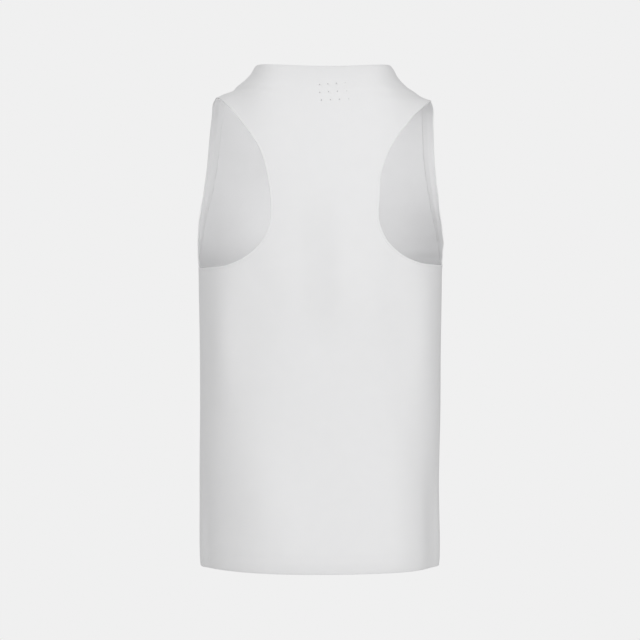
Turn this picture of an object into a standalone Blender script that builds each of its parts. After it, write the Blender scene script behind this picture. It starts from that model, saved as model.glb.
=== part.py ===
"""Running singlet in thin cloth, filled out as worn, with nobody in it.

Four pieces: a racer back, a front with a scooped neck, and a folded strip bound round each armhole.
Metres, +Z up. The wearer faces -Y and +X is the wearer's left. The origin is where the wearer's
shoulders carry the singlet: midway between the two straps, level with their undersides.

The cloth lies on one smooth figure. A place on it is given by two angles: "turn", round the body from
the middle of the back or of the front, and "rise", up the body, which is 0 at the chest and a quarter
turn along the top of the shoulders. Each panel is a patch of that figure between its own cut edges.
"""
import math
from typing import NamedTuple

import bmesh
import bpy
import numpy as np
from mathutils import Vector

# Cloth
PANEL_WALL = 0.0012
BINDING_WALL = 0.0010
GAP = 0.0003                         # left between neighbouring pieces
BINDING_OUTER_LEG = 0.003            # how far the folded strip reaches onto the panel, outside
BINDING_INNER_LEG = 0.011            # and inside

# Heights above the side hem
CHEST_HEIGHT = 0.4155                # level with the underarms
BACK_HEM_DROP = 0.005                # the middle of the back's hem hangs lower
BACK_NECK_HEIGHT = 0.6913
NECK_CORNER_HEIGHT = 0.6960
FRONT_NECK_DROP = 0.095

# The shoulders' top edge, falling from the neck outwards
SHOULDER_END_HEIGHT = 0.6435
SHOULDER_RISE = 0.078
SHOULDER_SPREAD = 0.1068
SHOULDER_STEEPNESS = 6.5

# Distances from the centre plane
NECK_CORNER_OUT = 0.0955
STRAP_MIDDLE_OUT = 0.125
SHOULDER_TIP_OUT = 0.1490
FIGURE_SHOULDER_HALF = 0.300         # how wide the figure would run on, past the straps

# Roundness of the figure's rings: 2 is an ellipse, more is squarer
RING_POWER = 2.4
SHOULDER_POWER = 2.4
NECK_POWER = 1.9

QUARTER = math.pi / 2
SIDE_SEAM_TURN = math.radians(80)    # from the middle of the back
HALF_GAP_TURN = 0.00115              # half of GAP, as an angle of the figure
RISE_LENGTH = 0.27                   # metres of height in one radian of rise, below the chest
SMALL_TURN = 1e-4

BACK = 1
FRONT = -1

# How finely the pieces are faceted
NECK_COLUMNS = 8
STRAP_COLUMNS = 3
UNDERARM_COLUMNS = 5
BODY_ROWS = 11
YOKE_ROWS = 14
LINE_SAMPLES = 40
YOKE_FADE = 3
WELD = 1e-5
CREASE_ANGLE = math.radians(40)      # wall edges sharper than this are shaded as edges

WHITE = (0.86, 0.86, 0.87, 1.0)
PANEL_ROUGHNESS = 0.85
BINDING_ROUGHNESS = 0.75


class Section(NamedTuple):
    """One level of the body tube."""
    height: float
    half_width: float
    back_depth: float
    front_depth: float


class EdgePoint(NamedTuple):
    """A place on a cut edge: its distance from the centre plane and its height above the side hem."""
    out: float
    height: float


class HalfPanel(NamedTuple):
    """The wearer's left half of a panel, as grids and lines of turn and rise."""
    side: int
    body: np.ndarray                 # rows from the hem up to the armhole's lower stretch
    yoke: np.ndarray                 # rows from there up to the neck and the shoulder seam
    armhole: tuple                   # the cut edge, and the lines where the binding's legs end


BODY = (
    Section(height=0.000, half_width=0.1684, back_depth=0.122, front_depth=0.124),
    Section(height=0.160, half_width=0.1693, back_depth=0.119, front_depth=0.122),
    Section(height=0.300, half_width=0.1699, back_depth=0.123, front_depth=0.128),
    Section(height=0.4155, half_width=0.1714, back_depth=0.130, front_depth=0.134),
)

# Armhole edges between the underarm and the shoulder tip. Each is split at its bend, where it turns
# from running inwards to running upwards.
BACK_ARMHOLE = (
    EdgePoint(out=0.1450, height=0.4162),
    EdgePoint(out=0.1230, height=0.4214),
    EdgePoint(out=0.1008, height=0.4341),
    EdgePoint(out=0.0828, height=0.4535),
    EdgePoint(out=0.0745, height=0.4815),
    EdgePoint(out=0.0750, height=0.5195),
    EdgePoint(out=0.0839, height=0.5625),
    EdgePoint(out=0.1021, height=0.5964),
    EdgePoint(out=0.1240, height=0.6245),
)
FRONT_ARMHOLE = (
    EdgePoint(out=0.1716, height=0.4543),
    EdgePoint(out=0.1688, height=0.5007),
    EdgePoint(out=0.1636, height=0.5465),
    EdgePoint(out=0.1600, height=0.5916),
    EdgePoint(out=0.1565, height=0.6330),
)
BACK_BEND = 3
FRONT_BEND = 0


def rounded(angle, power):
    """Sine and cosine of an angle, on a ring squarer than a circle."""
    sine, cosine = math.sin(angle), math.cos(angle)
    reach = (abs(sine) ** power + abs(cosine) ** power) ** (-1 / power)
    return sine * reach, cosine * reach


def rounded_angle(sine, power):
    """The angle whose rounded sine is the given one."""
    sine = min(sine, 1.0)
    return math.atan2(sine, (1 - sine ** power) ** (1 / power))


def between(values, levels, level):
    """A value on a smooth curve through a column of the section table, upright at its top."""
    upper = max(1, int(np.searchsorted(levels, level)))
    span = levels[upper] - levels[upper - 1]
    t = (level - levels[upper - 1]) / span
    slopes = np.gradient(values, levels)
    slopes[-1] = 0.0
    return (values[upper - 1] + (values[upper] - values[upper - 1]) * t * t * (3 - 2 * t)
            + span * slopes[upper - 1] * t * (1 - t) ** 2 - span * slopes[upper] * t * t * (1 - t))


def section_at(height):
    """Half width, back depth and front depth of the body tube at a height."""
    levels = [row.height for row in BODY]
    level = min(max(height, levels[0]), levels[-1])
    columns = zip(*(row[1:] for row in BODY))
    return [between(values, levels, level) for values in columns]


def shoulder_height(out):
    """Height of the shoulders' top edge at a distance from the centre plane."""
    fall = (abs(out) / SHOULDER_SPREAD) ** SHOULDER_STEEPNESS
    return SHOULDER_END_HEIGHT + SHOULDER_RISE / (1 + fall)


ORIGIN_HEIGHT = shoulder_height(STRAP_MIDDLE_OUT) - PANEL_WALL


def half_width_above_chest(rise):
    """Half width of the figure above the chest, which widens into shoulders."""
    chest_half = BODY[-1].half_width
    return chest_half + (FIGURE_SHOULDER_HALF - chest_half) * math.sin(rise) ** 2


def figure(side, turn, rise):
    """A place on the outside of the cloth, from two angles of the back or the front."""
    across, through = rounded(turn, RING_POWER)
    height = CHEST_HEIGHT + RISE_LENGTH * rise
    half, back_depth, front_depth = section_at(height)
    out = half * across
    if rise > 0:
        up, level = rounded(rise, SHOULDER_POWER)
        out = half_width_above_chest(rise) * across
        height = CHEST_HEIGHT + (shoulder_height(out) - CHEST_HEIGHT) * up
        through *= level
    towards_back = side * through
    depth = back_depth if towards_back > 0 else front_depth
    return Vector((out, towards_back * depth, height - ORIGIN_HEIGHT))


def slopes_at(side, turn, rise):
    """How a place moves on the figure for each radian of turn and of rise."""
    per_turn = figure(side, turn + SMALL_TURN, rise) - figure(side, turn - SMALL_TURN, rise)
    per_rise = figure(side, turn, rise + SMALL_TURN) - figure(side, turn, rise - SMALL_TURN)
    return per_turn / (2 * SMALL_TURN), per_rise / (2 * SMALL_TURN)


def outward(side, turn, rise):
    """Direction straight out of the figure."""
    per_turn, per_rise = slopes_at(side, turn, rise)
    return per_rise.cross(per_turn).normalized() * side


def angles_of(out, height):
    """Turn and rise of a place, from its distance to the centre plane and its height."""
    if height <= CHEST_HEIGHT:
        return rounded_angle(out / section_at(height)[0], RING_POWER), (height - CHEST_HEIGHT) / RISE_LENGTH
    share = (height - CHEST_HEIGHT) / (shoulder_height(out) - CHEST_HEIGHT)
    rise = rounded_angle(share, SHOULDER_POWER)
    return rounded_angle(out / half_width_above_chest(rise), RING_POWER), rise


def smooth_line(points):
    """Many places on a smooth curve through a few, each a turn and a rise.

    It starts level, where it crosses the side seam, and ends upright, where it crosses the shoulder.
    """
    points = np.array(points)
    first = 2 * points[0][0] - points[1][0], points[1][1]
    last = points[-2][0], 2 * points[-1][1] - points[-2][1]
    padded = np.array([first, *points, last])
    line = []
    for before, start, end, after in zip(padded, padded[1:], padded[2:], padded[3:]):
        for t in np.arange(LINE_SAMPLES) / LINE_SAMPLES:
            leaving = (end - before) / 2 * t * (1 - t) ** 2
            arriving = (after - start) / 2 * t * t * (1 - t)
            line.append(start + (end - start) * t * t * (3 - 2 * t) + leaving - arriving)
    line.append(points[-1])
    return np.array(line)


def straight(start, end, parts):
    """Places spread evenly between two, each a turn and a rise."""
    return np.linspace(start, end, parts + 1)


def evenly(side, line, parts):
    """A line again, as places the same distance apart on the cloth."""
    places = [figure(side, *angles) for angles in line]
    steps = [(b - a).length for a, b in zip(places, places[1:])]
    travelled = np.concatenate(([0.0], np.cumsum(steps)))
    wanted = np.linspace(0, travelled[-1], parts + 1)
    return np.column_stack([np.interp(wanted, travelled, line[:, axis]) for axis in (0, 1)])


def moved_in(side, line, distance):
    """A line that runs from the underarm to the shoulder tip, moved towards the panel's middle."""
    moved = []
    for angles, along in zip(line, np.gradient(line, axis=0)):
        per_turn, per_rise = slopes_at(side, *angles)
        tangent = per_turn * along[0] + per_rise * along[1]
        inward = per_turn.cross(per_rise).cross(tangent).normalized() * distance
        axes = np.array([per_turn, per_rise]).T
        moved.append(angles + np.linalg.lstsq(axes, np.array(inward), rcond=None)[0])
    return np.array(moved)


def patch(left, right, bottom, top, fade=1):
    """A grid filled in between its four edge lines: rows go upwards and columns go outwards.

    A higher fade keeps the uneven spacing of the top line to the rows close under it.
    """
    v = np.linspace(0, 1, len(left))[:, None, None]
    u = np.linspace(0, 1, len(bottom))[None, :, None]
    sideways = (1 - u) * left[:, None] + u * right[:, None]
    bottom_bow = bottom - ((1 - u) * bottom[0] + u * bottom[-1])
    top_bow = top - ((1 - u) * top[0] + u * top[-1])
    return sideways + (1 - v) * bottom_bow + v ** fade * top_bow


def back_neck_height(out):
    """Height of the back's neck edge, which is nearly level."""
    return BACK_NECK_HEIGHT + (NECK_CORNER_HEIGHT - BACK_NECK_HEIGHT) * (out / NECK_CORNER_OUT) ** 2


def front_neck_height(out):
    """Height of the front's neck edge, a round scoop."""
    share = (out / NECK_CORNER_OUT) ** NECK_POWER
    return NECK_CORNER_HEIGHT - FRONT_NECK_DROP * (1 - share) ** (1 / NECK_POWER)


def neck_line(neck_height, top_rise):
    """Half of a neck edge, from the middle to its corner on the shoulder seam."""
    outs = NECK_CORNER_OUT * np.sin(np.linspace(0, QUARTER, LINE_SAMPLES + 1)[:-1])
    line = [angles_of(out, neck_height(out)) for out in outs]
    line.append((angles_of(NECK_CORNER_OUT, shoulder_height(NECK_CORNER_OUT))[0], top_rise))
    return np.minimum(np.array(line), (QUARTER, top_rise))


def armhole_lines(side, points, bend, seam_turn, top_rise):
    """The armhole's cut edge and the ends of the binding's legs, from the underarm to the tip."""
    tip_turn = angles_of(SHOULDER_TIP_OUT, shoulder_height(SHOULDER_TIP_OUT))[0]
    line = smooth_line([(seam_turn, 0.0), *(angles_of(*point) for point in points), (tip_turn, top_rise)])
    split = (bend + 1) * LINE_SAMPLES
    lower = evenly(side, line[:split + 1], UNDERARM_COLUMNS)
    edge = np.vstack((lower, evenly(side, line[split:], YOKE_ROWS)[1:]))
    tip_slope = slopes_at(side, tip_turn, top_rise)[0].length
    lines = [edge]
    for distance in (BINDING_OUTER_LEG, BINDING_INNER_LEG):
        inner = moved_in(side, edge, distance)
        inner[0] = seam_turn, -distance / RISE_LENGTH
        inner[-1] = tip_turn - distance / tip_slope, top_rise
        lines.append(inner)
    return tuple(lines)


def hem_line(side, seam_turn):
    """Half of the hem, from the middle to the side seam."""
    drop = BACK_HEM_DROP if side == BACK else 0.0
    turns = np.linspace(0, seam_turn, LINE_SAMPLES + 1)
    return np.array([(turn, -(CHEST_HEIGHT + drop * math.cos(turn) ** 2) / RISE_LENGTH) for turn in turns])


def half_panel(side, points, bend, neck_height):
    """Lay out the wearer's left half of the back or the front."""
    seam_turn = (SIDE_SEAM_TURN if side == BACK else math.pi - SIDE_SEAM_TURN) - HALF_GAP_TURN
    top_rise = QUARTER - HALF_GAP_TURN
    armhole = armhole_lines(side, points, bend, seam_turn, top_rise)
    lower, upper = np.split(armhole[-1], (UNDERARM_COLUMNS,))
    middle = (0.0, upper[0][1])
    level = straight(middle, upper[0], NECK_COLUMNS + STRAP_COLUMNS)
    neck = evenly(side, neck_line(neck_height, top_rise), NECK_COLUMNS)
    top = np.vstack((neck, straight(neck[-1], upper[-1], STRAP_COLUMNS)[1:]))
    yoke = patch(straight(middle, top[0], YOKE_ROWS), upper, level, top, fade=YOKE_FADE)
    across = np.vstack((level, lower[::-1]))
    hem = evenly(side, hem_line(side, seam_turn), len(across) - 1)
    centre = straight(hem[0], middle, BODY_ROWS)
    seam = straight(hem[-1], lower[0], BODY_ROWS)
    return HalfPanel(side, patch(centre, seam, hem, across), yoke, armhole)


def add_grid(bm, places):
    """Add a grid of faces whose corners are the given rows of places; return them by row and column."""
    rows, columns = len(places), len(places[0])
    grid = bmesh.ops.create_grid(bm, x_segments=columns - 1, y_segments=rows - 1, size=1)["verts"]
    corners = {}
    for vert in grid:
        column = round((vert.co.x + 1) / 2 * (columns - 1))
        row = round((vert.co.y + 1) / 2 * (rows - 1))
        corners[row, column] = vert
    for (row, column), vert in corners.items():
        vert.co = places[row][column]
    return corners


def weld(bm):
    """Join the corners that grids share, and face the whole shell outwards."""
    bmesh.ops.remove_doubles(bm, verts=bm.verts, dist=WELD)
    bmesh.ops.recalc_face_normals(bm, faces=bm.faces)


def add_wall(bm, half, grid):
    """Lay a grid of turn and rise on both halves of a panel, noting the way out at each corner."""
    way_out = bm.verts.layers.float_vector["way_out"]
    for mirror in (1, -1):
        flip = Vector((mirror, 1, 1))
        places = [[figure(half.side, *angles) * flip for angles in row] for row in grid]
        corners = add_grid(bm, places)
        for (row, column), vert in corners.items():
            vert[way_out] = outward(half.side, *grid[row][column]) * flip


def finish(name, bm, material):
    """Turn a closed shell into a named, smooth-shaded object of triangles."""
    weld(bm)
    bmesh.ops.triangulate(bm, faces=bm.faces, quad_method="SHORT_EDGE")
    mesh = bpy.data.meshes.new(name)
    bm.to_mesh(mesh)
    bm.free()
    mesh.materials.append(material)
    mesh.shade_smooth()
    mesh.set_sharp_from_angle(angle=CREASE_ANGLE)
    bpy.context.collection.objects.link(bpy.data.objects.new(name, mesh))


def make_panel(name, half, material):
    """Build one panel: its outside, then the same surface again one wall thickness further in."""
    bm = bmesh.new()
    way_out = bm.verts.layers.float_vector.new("way_out")
    strip = np.stack(half.armhole, axis=1)
    for grid in (half.body, half.yoke, strip):
        add_wall(bm, half, grid)
    weld(bm)
    inside = bmesh.ops.extrude_face_region(bm, geom=bm.faces, use_keep_orig=True)["geom"]
    for vert in inside:
        if isinstance(vert, bmesh.types.BMVert):
            vert.co -= vert[way_out].normalized() * PANEL_WALL
    finish(name, bm, material)


def binding_section(side, edge, outer_end, inner_end):
    """Corners of the strip folded over a panel's edge, at one place along the armhole."""
    spots = [figure(side, *angles) for angles in (edge, outer_end, inner_end)]
    out_edge, out_outer, out_inner = (outward(side, *angles) for angles in (edge, outer_end, inner_end))
    at_edge, at_outer, at_inner = spots
    away = (at_edge - at_outer).normalized()
    near, far = GAP, GAP + BINDING_WALL
    return [
        at_outer + out_outer * far,
        at_edge + out_edge * far + away * far,
        at_edge - out_edge * (PANEL_WALL + far) + away * far,
        at_outer - out_outer * (PANEL_WALL + far),
        at_inner - out_inner * (PANEL_WALL + far),
        at_inner - out_inner * (PANEL_WALL + near),
        at_outer - out_outer * (PANEL_WALL + near),
        at_edge - out_edge * (PANEL_WALL + near) + away * near,
        at_edge + out_edge * near + away * near,
        at_outer + out_outer * near,
    ]


def make_binding(name, back, front, mirror, material):
    """Build the strip all round one armhole: up its back edge, over the shoulder and down its front."""
    stations = [(back.side, *lines) for lines in zip(*back.armhole)]
    stations += [(front.side, *lines) for lines in list(zip(*front.armhole))[-2:0:-1]]
    flip = Vector((mirror, 1, 1))
    rings = [[corner * flip for corner in binding_section(*station)] for station in stations]
    bm = bmesh.new()
    add_grid(bm, [ring + ring[:1] for ring in rings + rings[:1]])
    finish(name, bm, material)


def cloth_material(name, roughness):
    """Plain white cloth."""
    material = bpy.data.materials.new(name)
    material.use_nodes = True
    shader = material.node_tree.nodes["Principled BSDF"]
    shader.inputs["Base Color"].default_value = WHITE
    shader.inputs["Roughness"].default_value = roughness
    shader.inputs["Metallic"].default_value = 0.0
    return material


def main():
    """Clear the scene and build the four pieces."""
    for old in list(bpy.data.objects):
        bpy.data.objects.remove(old)
    back = half_panel(BACK, BACK_ARMHOLE, BACK_BEND, back_neck_height)
    front = half_panel(FRONT, FRONT_ARMHOLE, FRONT_BEND, front_neck_height)
    make_panel("back_panel", back, cloth_material("back_cloth", PANEL_ROUGHNESS))
    make_panel("front_panel", front, cloth_material("front_cloth", PANEL_ROUGHNESS))
    for wearer_side, mirror in (("left", 1), ("right", -1)):
        cloth = cloth_material(f"{wearer_side}_binding_cloth", BINDING_ROUGHNESS)
        make_binding(f"armhole_binding_{wearer_side}", back, front, mirror, cloth)


main()
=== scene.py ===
"""Looks of a running singlet in thin white knit, filled out as worn: cloth, folded edges, seams, studio.

Metres, +Z up. The wearer faces -Y and +X is the wearer's left. Cloth is cut flat first: while a piece is
in the making, X of its mesh is the turn round the body, Y is the rise up it and Z is the depth under the
outside of the cloth. Drape.lay then lays it on the worn form.
"""
import logging
import math
from dataclasses import dataclass
from enum import Enum
from typing import Iterable, NamedTuple, Sequence

import bmesh
import bpy
import numpy as np
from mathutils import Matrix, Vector


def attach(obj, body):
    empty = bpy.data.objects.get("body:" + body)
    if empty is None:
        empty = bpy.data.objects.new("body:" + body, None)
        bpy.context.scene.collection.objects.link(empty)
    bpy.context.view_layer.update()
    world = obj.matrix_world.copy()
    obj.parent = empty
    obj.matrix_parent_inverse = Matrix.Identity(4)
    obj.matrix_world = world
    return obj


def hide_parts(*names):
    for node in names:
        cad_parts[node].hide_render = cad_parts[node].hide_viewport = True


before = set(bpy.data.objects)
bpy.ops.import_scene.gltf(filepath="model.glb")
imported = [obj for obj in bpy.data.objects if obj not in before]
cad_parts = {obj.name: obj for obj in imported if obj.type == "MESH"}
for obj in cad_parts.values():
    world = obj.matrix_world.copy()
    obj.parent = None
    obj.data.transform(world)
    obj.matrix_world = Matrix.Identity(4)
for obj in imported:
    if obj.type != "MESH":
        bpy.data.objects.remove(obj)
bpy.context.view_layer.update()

BODY_NAME = "root"
QUARTER = math.pi / 2
SMALL_ANGLE = 1e-4
WELD = 1e-6
LINE_SAMPLES = 40                    # places on each stretch of a drawn line
HEM_SAMPLES = 2 * LINE_SAMPLES
LONG_LINE_SAMPLES = 4 * LINE_SAMPLES
PLACE_LAYER = "cloth_place"          # where a point lies on the cloth, in metres along and up it
PAINTED_SHADE_LAYER = "knit_painted_shade"           # painted shade: 1 round the vents' rims, a little down the spine stripe, else 0

log = logging.getLogger("singlet")
Triple = tuple[float, float, float]


class Side(Enum):
    """The back or the front of the body; the value is the sign of Y there."""

    BACK = 1
    FRONT = -1


class Section(NamedTuple):
    """One level of the body tube."""

    height: float
    half_width: float
    back_depth: float
    front_depth: float


class EdgePoint(NamedTuple):
    """A place on a cut edge: its distance from the centre plane and its height above the side hem."""

    out: float
    height: float


class FoldStep(NamedTuple):
    """One step of a fold: how far inside the border line it lies, and how deep under the outside."""

    inward: float
    depth: float


class Stance(NamedTuple):
    """How far the cloth stands off its even form at one height.

    Aside moves it towards the wearer's left, outward moves both sides away from the middle, and the drops
    lower the wearer's left and right sides.
    """

    z: float
    aside: float
    outward: float
    left_drop: float = 0.0
    right_drop: float = 0.0


def smoothstep(t: np.ndarray) -> np.ndarray:
    """Ease from 0 to 1 as t goes from 0 to 1."""
    t = np.clip(t, 0.0, 1.0)
    return t * t * (3 - 2 * t)


def eased(levels: np.ndarray, values: np.ndarray, wanted: np.ndarray) -> np.ndarray:
    """Read a table, easing from each row to the next.

    Args:
        levels: The rows' levels, rising.
        values: The rows' values.
        wanted: The levels to read it at.

    Returns:
        The values there.
    """
    upper = np.clip(np.searchsorted(levels, wanted), 1, len(levels) - 1)
    share = (wanted - levels[upper - 1]) / (levels[upper] - levels[upper - 1])
    return values[upper - 1] + (values[upper] - values[upper - 1]) * smoothstep(share)


def curved(t: np.ndarray, start: np.ndarray, end: np.ndarray,
           leaving: np.ndarray, arriving: np.ndarray) -> np.ndarray:
    """Run along a smooth curve from start to end as t goes from 0 to 1.

    Args:
        t: How far along.
        start: The values at the start.
        end: The values at the end.
        leaving: How steeply the curve leaves the start.
        arriving: How steeply it reaches the end.

    Returns:
        The values there.
    """
    return start + (end - start) * smoothstep(t) + leaving * t * (1 - t) ** 2 - arriving * t * t * (1 - t)


def rounded(angle: np.ndarray, power: float) -> tuple[np.ndarray, np.ndarray]:
    """Work out the sine and cosine of an angle on a ring squarer than a circle.

    Args:
        angle: Angles in radians.
        power: 2 for a circle, more for a squarer ring.

    Returns:
        The sines and the cosines.
    """
    sine, cosine = np.sin(angle), np.cos(angle)
    reach = (np.abs(sine) ** power + np.abs(cosine) ** power) ** (-1 / power)
    return sine * reach, cosine * reach


def rounded_angle(sine: np.ndarray, power: float) -> np.ndarray:
    """Work out the angle whose rounded sine is given.

    Args:
        sine: Rounded sines, from 0 to 1.
        power: The power that the ring is rounded by.

    Returns:
        The angles in radians.
    """
    sine = np.minimum(sine, 1.0)
    return np.arctan2(sine, (1 - sine ** power) ** (1 / power))


@dataclass(frozen=True)
class WornForm:
    """The smooth figure that the cloth lies on, with the sizes of the singlet's cut.

    Turns are counted from the middle of the form's own side.
    """

    side: Side
    chest_height: float = 0.4155
    rise_length: float = 0.27
    back_hem_drop: float = 0.005
    back_neck_height: float = 0.6913
    neck_corner_height: float = 0.6960
    front_neck_drop: float = 0.095
    neck_power: float = 1.9
    shoulder_end_height: float = 0.6435
    shoulder_rise: float = 0.078
    shoulder_spread: float = 0.1068
    shoulder_steepness: float = 6.5
    neck_corner_out: float = 0.0955
    strap_middle_out: float = 0.125
    shoulder_tip_out: float = 0.1490
    figure_shoulder_half: float = 0.300
    ring_power: float = 2.4
    shoulder_power: float = 2.4
    side_seam_turn: float = math.radians(80)
    wall: float = 0.0012
    body: tuple[Section, ...] = (
        Section(height=0.000, half_width=0.1684, back_depth=0.122, front_depth=0.124),
        Section(height=0.160, half_width=0.1693, back_depth=0.119, front_depth=0.122),
        Section(height=0.300, half_width=0.1699, back_depth=0.123, front_depth=0.128),
        Section(height=0.4155, half_width=0.1714, back_depth=0.130, front_depth=0.134),
    )

    def shoulder_height(self, out: np.ndarray) -> np.ndarray:
        """Height of the shoulders' top edge at a distance from the centre plane."""
        fall = (np.abs(out) / self.shoulder_spread) ** self.shoulder_steepness
        return self.shoulder_end_height + self.shoulder_rise / (1 + fall)

    @property
    def origin_height(self) -> float:
        """Height of the origin above the side hem."""
        return float(self.shoulder_height(self.strap_middle_out)) - self.wall

    def section_at(self, height: np.ndarray) -> list[np.ndarray]:
        """Read the section table at any height.

        Args:
            height: Heights above the side hem.

        Returns:
            Half widths, back depths and front depths.
        """
        levels = np.array([row.height for row in self.body])
        level = np.clip(height, levels[0], levels[-1])
        upper = np.clip(np.searchsorted(levels, level), 1, len(levels) - 1)
        span = levels[upper] - levels[upper - 1]
        t = (level - levels[upper - 1]) / span
        sizes = []
        for column in zip(*(row[1:] for row in self.body)):
            values = np.array(column)
            slopes = np.gradient(values, levels)
            slopes[-1] = 0.0
            sizes.append(curved(t, values[upper - 1], values[upper],
                                span * slopes[upper - 1], span * slopes[upper]))
        return sizes

    def half_width_above_chest(self, rise: np.ndarray) -> np.ndarray:
        """Half width of the figure above the chest, which widens into shoulders."""
        chest_half = self.body[-1].half_width
        return chest_half + (self.figure_shoulder_half - chest_half) * np.sin(rise) ** 2

    def place(self, turn: np.ndarray, rise: np.ndarray) -> np.ndarray:
        """Find places on the outside of the cloth.

        Args:
            turn: Angles round the body, positive towards the wearer's left.
            rise: Angles up the body, 0 at the chest and a quarter turn on the shoulders.

        Returns:
            The places, as rows of x, y and z.
        """
        across, through = rounded(turn, self.ring_power)
        low_height = self.chest_height + self.rise_length * rise
        half, back_depth, front_depth = self.section_at(low_height)
        above = np.maximum(rise, 0.0)
        up, level = rounded(above, self.shoulder_power)
        out = np.where(rise > 0, self.half_width_above_chest(above), half) * across
        high = self.chest_height + (self.shoulder_height(out) - self.chest_height) * up
        height = np.where(rise > 0, high, low_height)
        towards_back = self.side.value * through * level
        depth = np.where(towards_back > 0, back_depth, front_depth)
        return np.stack((out, towards_back * depth, height - self.origin_height), axis=-1)

    def axes(self, turn: np.ndarray, rise: np.ndarray) -> tuple[np.ndarray, np.ndarray]:
        """Find how places move for each radian of turn and of rise.

        Args:
            turn: Angles round the body.
            rise: Angles up the body.

        Returns:
            Movement for a radian of turn, and for a radian of rise.
        """
        wide = self.place(turn + SMALL_ANGLE, rise) - self.place(turn - SMALL_ANGLE, rise)
        tall = self.place(turn, rise + SMALL_ANGLE) - self.place(turn, rise - SMALL_ANGLE)
        return wide / (2 * SMALL_ANGLE), tall / (2 * SMALL_ANGLE)

    def angles_of(self, out: float, height: float) -> tuple[float, float]:
        """Find the turn and rise of a place from its distance to the centre plane and its height.

        Args:
            out: Distance from the centre plane.
            height: Height above the side hem.

        Returns:
            The turn and the rise.
        """
        if height <= self.chest_height:
            half = self.section_at(height)[0]
            return rounded_angle(out / half, self.ring_power), (height - self.chest_height) / self.rise_length
        share = (height - self.chest_height) / (self.shoulder_height(out) - self.chest_height)
        rise = rounded_angle(share, self.shoulder_power)
        return rounded_angle(out / self.half_width_above_chest(rise), self.ring_power), rise

    @property
    def seam_turn(self) -> float:
        """Turn of the side seam."""
        return self.side_seam_turn if self.side is Side.BACK else math.pi - self.side_seam_turn

    def hem_rise(self, turn: np.ndarray) -> np.ndarray:
        """Rise of the hem, which hangs lower at the middle of the back."""
        drop = self.back_hem_drop if self.side is Side.BACK else 0.0
        return -(self.chest_height + drop * np.cos(turn) ** 2) / self.rise_length

    def neck_height(self, out: np.ndarray) -> np.ndarray:
        """Work out the neck edge: nearly level at the back, a round scoop at the front.

        Args:
            out: Distances from the centre plane.

        Returns:
            Heights above the side hem.
        """
        share = out / self.neck_corner_out
        if self.side is Side.BACK:
            return self.back_neck_height + (self.neck_corner_height - self.back_neck_height) * share ** 2
        dip = (1 - share ** self.neck_power) ** (1 / self.neck_power)
        return self.neck_corner_height - self.front_neck_drop * dip


@dataclass(frozen=True)
class Crease:
    """A soft trough in the cloth, or a ridge where its depth is negative.

    Its ends are (x, z) places, seen square on to the back or the front. Bow is how far its middle is
    pushed aside, and deepest how far along it is deepest, from 0 at the start to 1 at the end.
    """

    start: tuple[float, float]
    end: tuple[float, float]
    depth: float
    width: float
    bow: float = 0.0
    deepest: float = 0.5

    def at(self, x: np.ndarray, z: np.ndarray) -> np.ndarray:
        """Work out how deep the crease is.

        Args:
            x: Places across.
            z: Heights.

        Returns:
            Depths under the smooth form.
        """
        run = np.subtract(self.end, self.start)
        length = float(np.hypot(*run))
        from_start_x, from_start_z = x - self.start[0], z - self.start[1]
        along = np.clip((from_start_x * run[0] + from_start_z * run[1]) / length ** 2, 0.0, 1.0)
        across = (from_start_z * run[0] - from_start_x * run[1]) / length
        bowed = across - self.bow * 4 * along * (1 - along)
        skew = math.log(0.5) / math.log(self.deepest)
        swell = np.sin(math.pi * along ** skew) ** 2
        return self.depth * swell * np.exp(-(bowed / self.width) ** 2)


BACK_CREASES = (
    Crease(start=(0.004, -0.080), end=(0.009, -0.430), depth=0.0022, width=0.024, bow=0.004, deepest=0.55),
    Crease(start=(0.125, -0.300), end=(0.030, -0.700), depth=-0.0034, width=0.040, bow=0.010, deepest=0.70),
    Crease(start=(-0.060, -0.560), end=(-0.120, -0.700), depth=-0.0020, width=0.030, deepest=0.70),
    Crease(start=(-0.040, -0.200), end=(-0.062, -0.420), depth=-0.0022, width=0.034, bow=-0.006),
    Crease(start=(0.105, -0.215), end=(0.060, -0.330), depth=0.0009, width=0.014, bow=0.004, deepest=0.4),
    Crease(start=(-0.112, -0.212), end=(-0.078, -0.290), depth=0.0007, width=0.012, deepest=0.4),
    Crease(start=(0.045, -0.020), end=(0.030, -0.150), depth=0.0007, width=0.016, bow=0.003),
    Crease(start=(0.137, -0.200), end=(0.140, -0.480), depth=-0.0062, width=0.024),
    Crease(start=(-0.138, -0.190), end=(-0.138, -0.500), depth=-0.0062, width=0.024),
    Crease(start=(0.145, -0.420), end=(0.146, -0.800), depth=0.0060, width=0.045, deepest=0.60),
    Crease(start=(-0.100, -0.420), end=(-0.104, -0.760), depth=-0.0050, width=0.034, deepest=0.50),
    Crease(start=(-0.157, -0.450), end=(-0.157, -0.790), depth=0.0050, width=0.014, deepest=0.50),
)
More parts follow.
